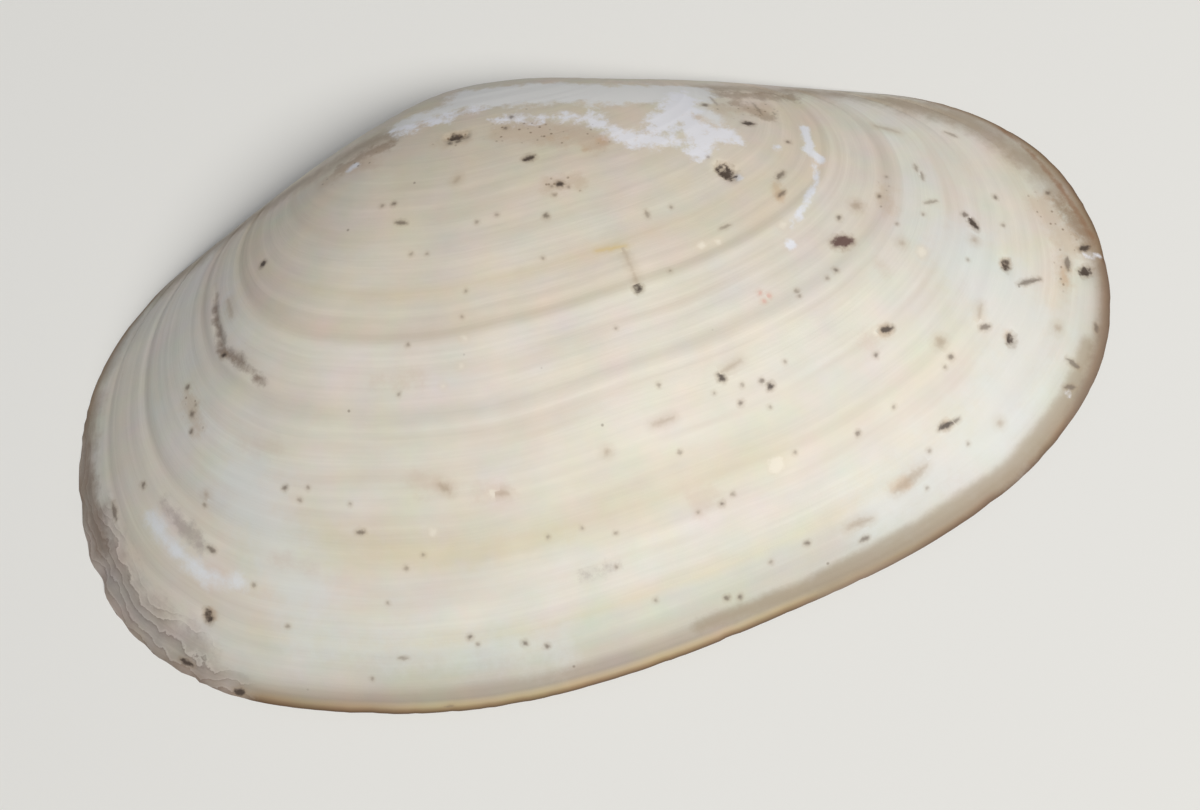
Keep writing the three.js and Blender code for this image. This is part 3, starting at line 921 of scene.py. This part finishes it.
# %% Small chips at the rim, most of them along the flaky edge
NOTCH = (96, 583)         # a pixel at the one notch that shows in the outline
NOTCH_DEPTH = 0.20        # mm, as all of these
NOTCH_WIDTH = 0.45
FLAKY_CHIPS = 0.20        # how deep the noise can cut along the flaky edge
OTHER_CHIPS = 0.07
NEAR_FLAKES = 1.5         # the flaky edge's chips go on this far beside it
CHIP_REACH = 1.5          # how far in from the rim a chip fades out
CHIP_SIZES = (1.3, 0.45)  # large ones, and small ones between them
notch_place = on_shell(*NOTCH)[0]
from_rim = np.linalg.norm(points - rims, axis=1)
chip = np.zeros(len(points))
for i in np.nonzero(from_rim < CHIP_REACH)[0]:
    spot = Vector(rims[i].tolist())
    rough = noise.noise(spot / CHIP_SIZES[0]) + 0.6 * noise.noise(spot / CHIP_SIZES[1])
    worst = FLAKY_CHIPS if patch_distance["flaky"][i] < NEAR_FLAKES else OTHER_CHIPS
    chip[i] = worst * max(0.0, rough + 0.1)
    beside = math.hypot(rims[i][0] - notch_place[0], rims[i][1] - notch_place[1])
    chip[i] += NOTCH_DEPTH * math.exp(-(beside / NOTCH_WIDTH) ** 2)
inwards = np.array(MIDDLE) - rims
inwards /= np.linalg.norm(inwards, axis=1)[:, None]
chip *= np.clip(1 - from_rim / CHIP_REACH, 0, 1) * (outer > 0.5)
move_to(np.array([v.co for v in valve_mesh.vertices]) + inwards * chip[:, None] * MM)
print("chips up to", round(float(chip.max()), 2), "mm deep")

# %% [markdown]
# ## Colour of the marks
#
# Sand and rust have stained the bare shell, and where it is chipped or rubbed the chalk under
# its surface is white. Two washes are painted light instead: a highlight low on the left end,
# and shade on the top edges over the brown skin there. Each stain is a thin wash over the bands,
# the wide ones first and the small ones last. Two noises bend the distances, a slow one for the
# patches and a fine one for the small marks. Without them each mark would be a perfect bar with
# round ends.

# %% Uneven edges
FINE_SCALE = 3.6
RAGGED_SCALE = 0.9
fine_edge = add(worn, NOISE, {"Vector": at, "Scale": FINE_SCALE, "Detail": 3.0})
fine_edge = add(worn, VECTOR_MATH, [fine_edge.outputs["Color"], (0.5, 0.5, 0.5)], operation="SUBTRACT")
ragged_edge = add(worn, NOISE, {"Vector": at, "Scale": RAGGED_SCALE, "Detail": 5.0, "Roughness": 0.7})
ragged_edge = add(worn, MATH, [ragged_edge, 0.5], operation="SUBTRACT")
print("edges bend every", round(1 / FINE_SCALE, 1), "and", round(1 / RAGGED_SCALE, 1), "mm")

# %% Stains, worn places and shade over the bands
STAINS = [   # patch, paint, strength, how far its edge strays and how soft it is, in mm
    ("cool", "#dce1e2", 0.50, 4.0, 1.6),            # where the bands have worn thin
    ("dorsal", "#957f66", 0.70, 1.8, 0.9),          # old skin along the hinge, and painted shade on the top edges that slope away from the light
    ("margin shade", "#9f907a", 0.68, 0.8, 0.35),
    ("rim line", "#865a34", 0.60, 0.5, 0.16),
    ("umber", "#8d7258", 0.55, 2.4, 0.35),
    ("freckled", "#c8b39b", 0.50, 2.4, 0.5),
    ("worn beak", "#e8e9ea", 0.88, 3.0, 0.5),       # chalk under the rubbed beak
    ("rosy", "#c8b09e", 0.32, 2.6, 0.6),
    ("mauve", "#9b8d88", 0.55, 2.0, 0.40),
    ("straw", "#d6caa4", 0.27, 3.0, 0.8),
    # painted highlight
    ("painted highlight", "#e8ecf2", 0.85, 1.6, 0.5),
    ("chalk", "#eff0f8", 0.90, 3.2, 0.42),
    ("chips", "#e8ebf4", 0.85, 1.1, 0.16),
    ("break", "#7c6656", 0.80, 1.2, 0.28),          # darker along the old break
    ("halo", "#c39c74", 0.42, 1.2, 0.26),           # rust round the borings
]
print(len(STAINS), "kinds of stain")


# %% Each stain is a wash with an uneven edge
def stained(colour, patch, code, strength, stray, soft):
    far = add(worn, ATTRIBUTE, attribute_name=patch).outputs["Fac"]
    far = add(worn, MATH, [ragged_edge, stray, far], operation="MULTIPLY_ADD")
    inside = add(worn, MAP_RANGE, [far, soft, -soft, 0.0, 1.0], interpolation_type="SMOOTHSTEP")
    fac = add(worn, MATH, [inside, strength], operation="MULTIPLY")
    mixed = add(worn, MIX, {0: fac, 6: colour, 7: paint(code)}, data_type="RGBA")
    return mixed.outputs[2], inside


inside_patch = {}
for stain in STAINS:
    colour, inside_patch[stain[0]] = stained(colour, *stain)
print(len(worn.nodes), "nodes so far")

# %% The sheets of the flaky edge
# Across one sheet the paint runs from a dark step to a pale broken edge: painted shade at each step and a
# painted highlight on each edge, over the sheet's own grey-mauve.
SHEET_TONES_AND_PAINTED_LIGHT = [
    (0.0, "#92847c"), (0.12, "#a89c93"), (0.45, "#b6aba2"), (0.80, "#beb3aa"), (0.93, "#cdc3ba"),
    (1.0, "#b0a59d"),
]
layer = add(worn, ATTRIBUTE, attribute_name="sheet").outputs["Fac"]
layer = add(worn, MATH, [ragged_edge, 1.2, layer], operation="MULTIPLY_ADD")
in_sheet = add(worn, MATH, [layer, 1.0], operation="FLOORED_MODULO")
sheet_tone_and_painted_light = add(worn, "ShaderNodeValToRGB", [in_sheet])
set_stops(sheet_tone_and_painted_light, SHEET_TONES_AND_PAINTED_LIGHT)
which = add(worn, MATH, [layer], operation="FLOOR")
tone = add(worn, "ShaderNodeTexWhiteNoise", {"W": which}, noise_dimensions="1D")
tone = add(worn, MAP_RANGE, [tone.outputs["Value"], 0.0, 1.0, 0.86, 1.10])
shade = add(worn, MAP_RANGE, [streak, 0.3, 0.7, 0.86, 1.12])
flake = add(worn, VECTOR_MATH, {0: sheet_tone_and_painted_light, "Scale": tone}, operation="SCALE")
flake = add(worn, VECTOR_MATH, {0: flake, "Scale": shade}, operation="SCALE")
flake = add(worn, VECTOR_MATH, [flake, mottle], operation="MULTIPLY")
far = add(worn, ATTRIBUTE, attribute_name="flaky").outputs["Fac"]
far = add(worn, MATH, [ragged_edge, 2.0, far], operation="MULTIPLY_ADD")
is_flaky = add(worn, MAP_RANGE, [far, 0.8, -1.1, 0.0, 0.9], interpolation_type="SMOOTHSTEP")
colour = add(worn, MIX, {0: is_flaky, 6: colour, 7: flake}, data_type="RGBA").outputs[2]
colour, is_rough = stained(colour, "rough rim", "#83705f", 0.60, 1.6, 0.45)
print(len(SHEET_TONES_AND_PAINTED_LIGHT), "tones across one sheet")

# %% How far the nearest small mark is
start = add(worn, ATTRIBUTE, attribute_name="mark start").outputs["Vector"]
line = add(worn, ATTRIBUTE, attribute_name="mark line").outputs["Vector"]
size = add(worn, ATTRIBUTE, attribute_name="mark size").outputs["Vector"]
size = add(worn, "ShaderNodeSeparateXYZ", [size])   # radius, strength and softness
uneven = add(worn, MATH, [size.outputs[0], 1.2, 0.12], operation="MULTIPLY_ADD")
uneven = add(worn, VECTOR_MATH, {0: fine_edge, "Scale": uneven}, operation="SCALE")
from_start = add(worn, VECTOR_MATH, [at, start], operation="SUBTRACT")
from_start = add(worn, VECTOR_MATH, [from_start, uneven], operation="ADD")
share = add(worn, VECTOR_MATH, [from_start, line], operation="DOT_PRODUCT").outputs["Value"]
whole = add(worn, VECTOR_MATH, [line, line], operation="DOT_PRODUCT").outputs["Value"]
share = add(worn, MATH, [share, whole], operation="DIVIDE")
share = add(worn, "ShaderNodeClamp", [share])
on_line = add(worn, VECTOR_MATH, {0: line, "Scale": share}, operation="SCALE")
far = add(worn, VECTOR_MATH, [from_start, on_line], operation="DISTANCE").outputs["Value"]
from_middle = add(worn, MATH, [share, 0.5], operation="SUBTRACT")
narrowed = add(worn, MATH, [from_middle, from_middle], operation="MULTIPLY")
thinning = add(worn, ATTRIBUTE, attribute_name="mark thinning").outputs["Fac"]
narrowed = add(worn, MATH, [narrowed, thinning], operation="MULTIPLY")
narrowed = add(worn, MATH, [1.0, narrowed], operation="SUBTRACT")   # thin ends
half_width = add(worn, MATH, [size.outputs[0], narrowed], operation="MULTIPLY")
far = add(worn, MATH, [far, half_width], operation="SUBTRACT")
print("the ends of a long stroke are", round(1 - MOST_THIN / 4, 2), "of its width")

# %% Its colour, with a paler brown edge
EDGE_REACH = 3.0       # over the mark's softness
mark_paint = add(worn, ATTRIBUTE, attribute_name="mark paint").outputs["Color"]
edge_out = add(worn, MATH, [size.outputs[2], EDGE_REACH], operation="MULTIPLY")
is_edge = add(worn, MAP_RANGE, [far, edge_out, 0.0, 0.0, 0.45], interpolation_type="SMOOTHSTEP")
is_edge = add(worn, MATH, [is_edge, size.outputs[1]], operation="MULTIPLY")
soft_in = add(worn, MATH, [size.outputs[2], -1.0], operation="MULTIPLY")
is_mark = add(worn, MAP_RANGE, [far, size.outputs[2], soft_in, 0.0, 1.0], interpolation_type="SMOOTHSTEP")
is_mark = add(worn, MATH, [is_mark, size.outputs[1]], operation="MULTIPLY")
edge_paint = add(worn, MIX, {0: 0.5, 6: mark_paint, 7: paint("#c7ad8c")}, data_type="RGBA")
for fac, wash in ((is_edge, edge_paint.outputs[2]), (is_mark, mark_paint)):
    colour = add(worn, MIX, {0: fac, 6: colour, 7: wash}, data_type="RGBA").outputs[2]
print("each mark's edge reaches", EDGE_REACH, "times its softness")

# %% Specks too small to place one by one
# Cells per mm, where a speck ends and where it is full in cells, share of cells left empty,
# strength, paint and patch.
SCATTERED = [
    (0.75, 0.0825, 0.033, 0.86, 0.55, "#6f5f50", None),
    (2.8, 0.28, 0.14, 0.48, 0.70, "#806a54", "freckled"),
]
for channel, (per_mm, ends, full, empty, strength, code, patch) in enumerate(SCATTERED):
    cells = add(worn, "ShaderNodeTexVoronoi", {"Vector": at, "Scale": per_mm})
    is_speck = add(worn, MAP_RANGE, [cells.outputs["Distance"], ends, full, 0.0, strength])
    chosen = add(worn, "ShaderNodeSeparateColor", [cells.outputs["Color"]])
    chosen = add(worn, MATH, [chosen.outputs[channel], empty], operation="GREATER_THAN")
    is_speck = add(worn, MATH, [is_speck, chosen], operation="MULTIPLY")
    if patch:
        is_speck = add(worn, MATH, [is_speck, inside_patch[patch]], operation="MULTIPLY")
    colour = add(worn, MIX, {0: is_speck, 6: colour, 7: paint(code)}, data_type="RGBA").outputs[2]
print("specks of about", round(2 * SCATTERED[0][1] / SCATTERED[0][0], 2), "mm")

# %% [markdown]
# ## The surface of the outside
#
# Sand has rubbed the outside matt, and only a faint sheen is left on the ridges. The ridges
# that are too fine for the mesh are a bump of a few hundredths of a millimetre. It reads the
# same patterns as the streaks, so light and colour agree.

# %% The finish of the outside is put together
ARAGONITE_IOR = 1.53   # aragonite and the protein in it
FINE_RELIEF = 0.035    # mm
GRAIN = 9.0            # grains in a mm
worn.links.new(colour, surface.inputs["Base Color"])
surface.inputs["Roughness"].default_value = 0.55
surface.inputs["IOR"].default_value = ARAGONITE_IOR
height = add(worn, MATH, [coarse, streak], operation="ADD")
grain = add(worn, NOISE, {"Vector": at, "Scale": GRAIN, "Detail": 3.0})
height = add(worn, MATH, [grain, 0.25, height], operation="MULTIPLY_ADD")
bump = add(worn, "ShaderNodeBump", {"Strength": 0.4, "Distance": FINE_RELIEF * MM, "Height": height})
worn.links.new(bump.outputs[0], surface.inputs["Normal"])
print(len(worn.nodes), "nodes in the finish of the outside")

# %% [markdown]
# ## The finish of the inside
#
# The inside is laid down smooth, like thin porcelain, and keeps a soft gloss, because sand can't
# reach it. Two shallow scars show where the muscles that closed the shell were fixed. A faint
# line joins them where the edge of the soft body was held, with a deep bay at the hind end for
# the siphons. All of them are dull against the glossy lining, so the roughness changes too.

# %% Muscle scars and the line between them
SCARS = [(24.0, -12.0, 3.1, 4.4), (-17.5, -13.0, 3.0, 3.6)]   # x, y and two half widths
SCAR_DEPTH = 0.12
BODY_LINE = 0.86      # stage of the inside at the line
BAY = (-21.0, 0.30, 6.5)   # rim place in x, depth in stages, half width
BEAK_TO_RIM = 34.0
HINGE_SIDE = -9.0     # rim places above this Y have no line
FAR_OFF = 9.0         # mm
scar = np.min([(np.hypot((points[:, 0] - x) / wide, (points[:, 1] - y) / high) - 1) * wide
               for x, y, wide, high in SCARS], axis=0)
bay_depth = BAY[1] * np.exp(-((rims[:, 0] - BAY[0]) / BAY[2]) ** 2) * np.clip((-12 - rims[:, 1]) / 6, 0, 1)
body_line = (stages - (BODY_LINE - bay_depth)) * BEAK_TO_RIM
body_line[rims[:, 1] > HINGE_SIDE] = FAR_OFF
keep("scar", "FLOAT", "POINT", scar)
keep("body line", "FLOAT", "POINT", body_line)
moved = np.array([v.co for v in valve_mesh.vertices])
inner = (outer < 0.5) & (moved[:, 2] > 0.6 * MM)
sunk = SCAR_DEPTH * np.clip(-scar / 0.6, 0, 1) * inner
moved[:, 2] += sunk * MM
move_to(moved)
print(int((sunk > 0).sum()), "points in the scars")

# %% The lining
VEIL_SCALE = 0.25      # cloudy patches of about 4 mm
LINING = [(0.0, "#e9dfcf"), (0.45, "#eee7db"), (0.80, "#f1ede5"), (0.93, "#ece9e2"), (1.0, "#e0d9cc")]
lining = smooth_shell.node_tree
glaze = lining.nodes["Principled BSDF"]
spot = add(lining, "ShaderNodeTexCoord").outputs["Object"]
spot = add(lining, VECTOR_MATH, {0: spot, "Scale": 1 / MM}, operation="SCALE")
stage = add(lining, ATTRIBUTE, attribute_name="growth").outputs["Fac"]
base = add(lining, "ShaderNodeValToRGB", [stage])
set_stops(base, LINING)
veil = add(lining, NOISE, {"Vector": spot, "Scale": VEIL_SCALE, "Detail": 3.0})
veil = add(lining, MAP_RANGE, [veil, 0.3, 0.7, 0.96, 1.02])
base = add(lining, VECTOR_MATH, {0: base, "Scale": veil}, operation="SCALE")
print(len(LINING), "tones from the hollow to the rim")

# %% The scars and the line are dull
WOBBLE_SCALE = 0.8     # bends of about 1.2 mm along the scars and the line
wobble = add(lining, NOISE, {"Vector": spot, "Scale": WOBBLE_SCALE, "Detail": 3.0})
wobble = add(lining, MATH, [wobble, 0.5], operation="SUBTRACT")
to_scar = add(lining, ATTRIBUTE, attribute_name="scar").outputs["Fac"]
to_scar = add(lining, MATH, [wobble, 0.6, to_scar], operation="MULTIPLY_ADD")
is_scar = add(lining, MAP_RANGE, [to_scar, 0.12, -0.12, 0.0, 1.0])
to_line = add(lining, ATTRIBUTE, attribute_name="body line").outputs["Fac"]
to_line = add(lining, MATH, [wobble, 0.6, to_line], operation="MULTIPLY_ADD")
to_line = add(lining, MATH, [to_line], operation="ABSOLUTE")
is_line = add(lining, MAP_RANGE, [to_line, 0.45, 0.15, 0.0, 1.0])
is_dull = add(lining, MATH, [is_scar, is_line], operation="MAXIMUM")
shaded = add(lining, MATH, [is_dull, 0.5], operation="MULTIPLY")
base = add(lining, MIX, {0: shaded, 6: base, 7: paint("#d3c9ba")}, data_type="RGBA").outputs[2]
lining.links.new(base, glaze.inputs["Base Color"])
gloss = add(lining, MAP_RANGE, [is_dull, 0.0, 1.0, 0.32, 0.55])
lining.links.new(gloss.outputs[0], glaze.inputs["Roughness"])
glaze.inputs["IOR"].default_value = ARAGONITE_IOR
print(len(lining.nodes), "nodes in the finish of the inside")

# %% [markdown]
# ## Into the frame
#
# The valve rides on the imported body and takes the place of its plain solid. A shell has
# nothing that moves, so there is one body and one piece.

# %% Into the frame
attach(valve, "root")
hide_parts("valve")
